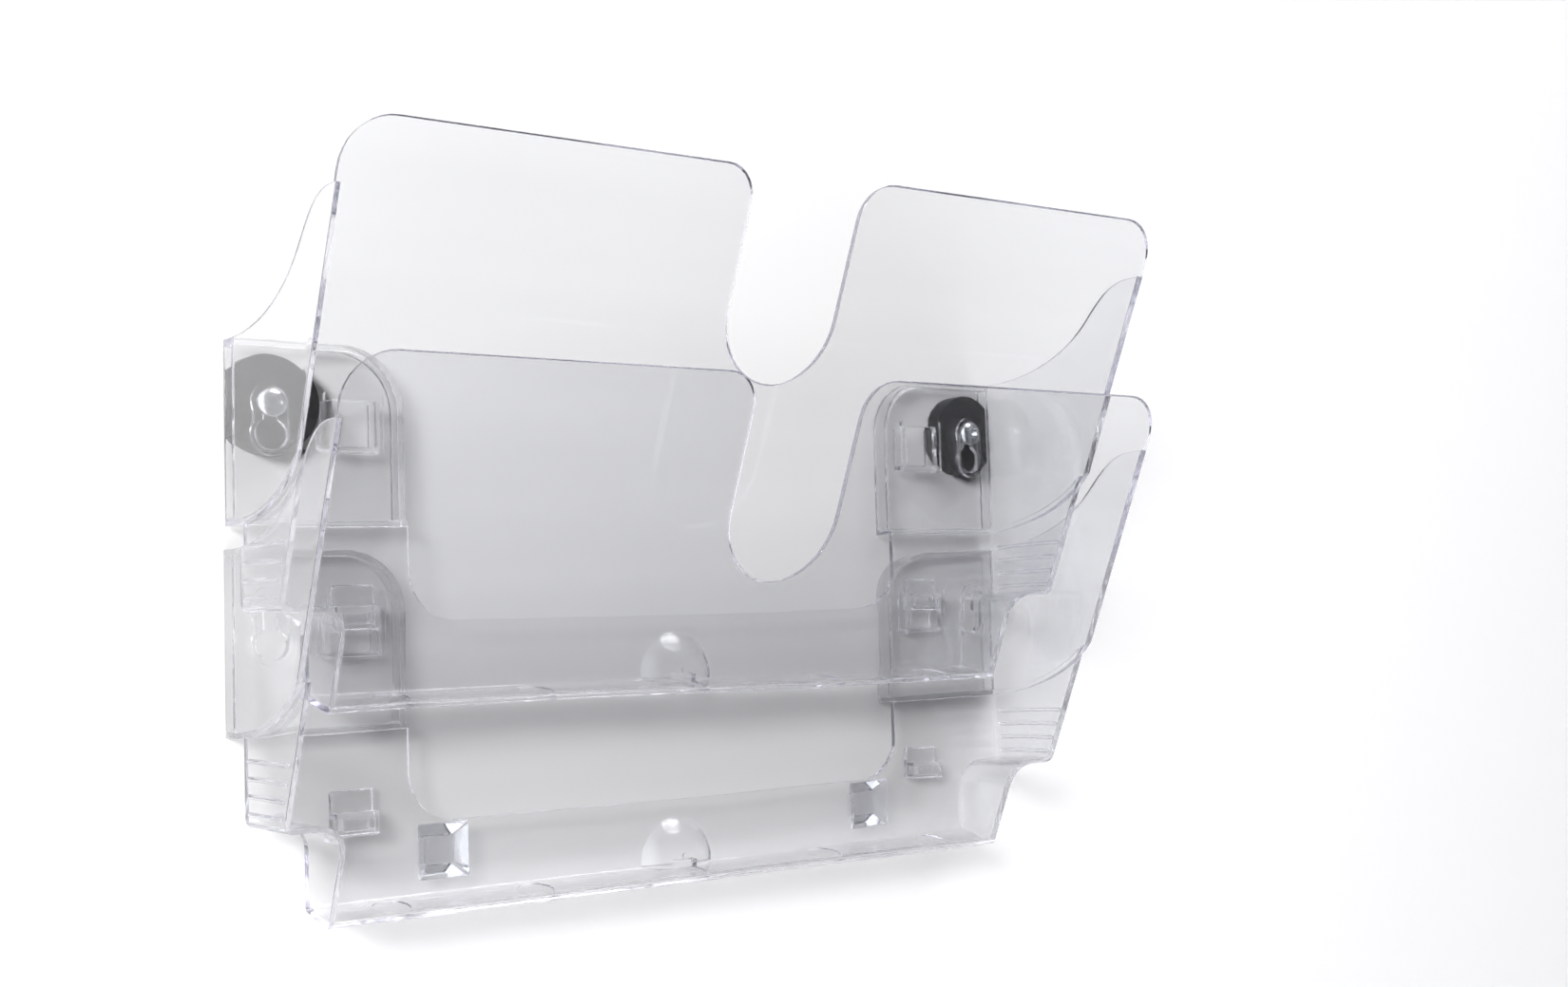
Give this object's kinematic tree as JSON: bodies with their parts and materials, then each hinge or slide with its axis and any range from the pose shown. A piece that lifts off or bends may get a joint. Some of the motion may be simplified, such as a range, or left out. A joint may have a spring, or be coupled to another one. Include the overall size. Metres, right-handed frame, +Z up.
{
  "type": "wall magazine rack",
  "caption": "Clear plastic wall rack for landscape magazines: an upper pocket on two keyhole screws, and a like pocket hooked below it, each with a leaning front, finger notch and open back.",
  "frame": {"origin": "on the wall plane, midway between the axes of the two fixing screws", "axes": "+X along the wall to the right as seen from the room, +Y into the wall, +Z up; the pockets stand out towards -Y"},
  "size_m": [0.3626, 0.1472, 0.2599],
  "materials": {
    "clear_styrene": "clear crystal polystyrene, glossy",
    "black_spacer": "black, semi-matt",
    "zinc_screw": "bright zinc plated",
    "nylon_plug": "grey nylon",
    "clear_bumper": "clear soft polyurethane"
  },
  "bodies": {
    "wall_fixings": {"screw_left": "zinc_screw", "screw_right": "zinc_screw", "spacer_disc_left": "black_spacer", "spacer_disc_right": "black_spacer", "wall_plug_left": "nylon_plug", "wall_plug_right": "nylon_plug"},
    "upper": {"upper_pocket": "clear_styrene"},
    "lower": {"lower_pocket": "clear_styrene", "bumper_left": "clear_bumper", "bumper_right": "clear_bumper"}
  },
  "joints": [
    {"name": "upper_lift", "type": "slide", "parent": "wall_fixings", "child": "upper", "axis": [0, 0, 1], "range_m": [0, 0.0109]},
    {"name": "lower_lift", "type": "slide", "parent": "upper", "child": "lower", "axis": [0, 0, 1], "range_m": [0, 0.0077]}
  ]
}
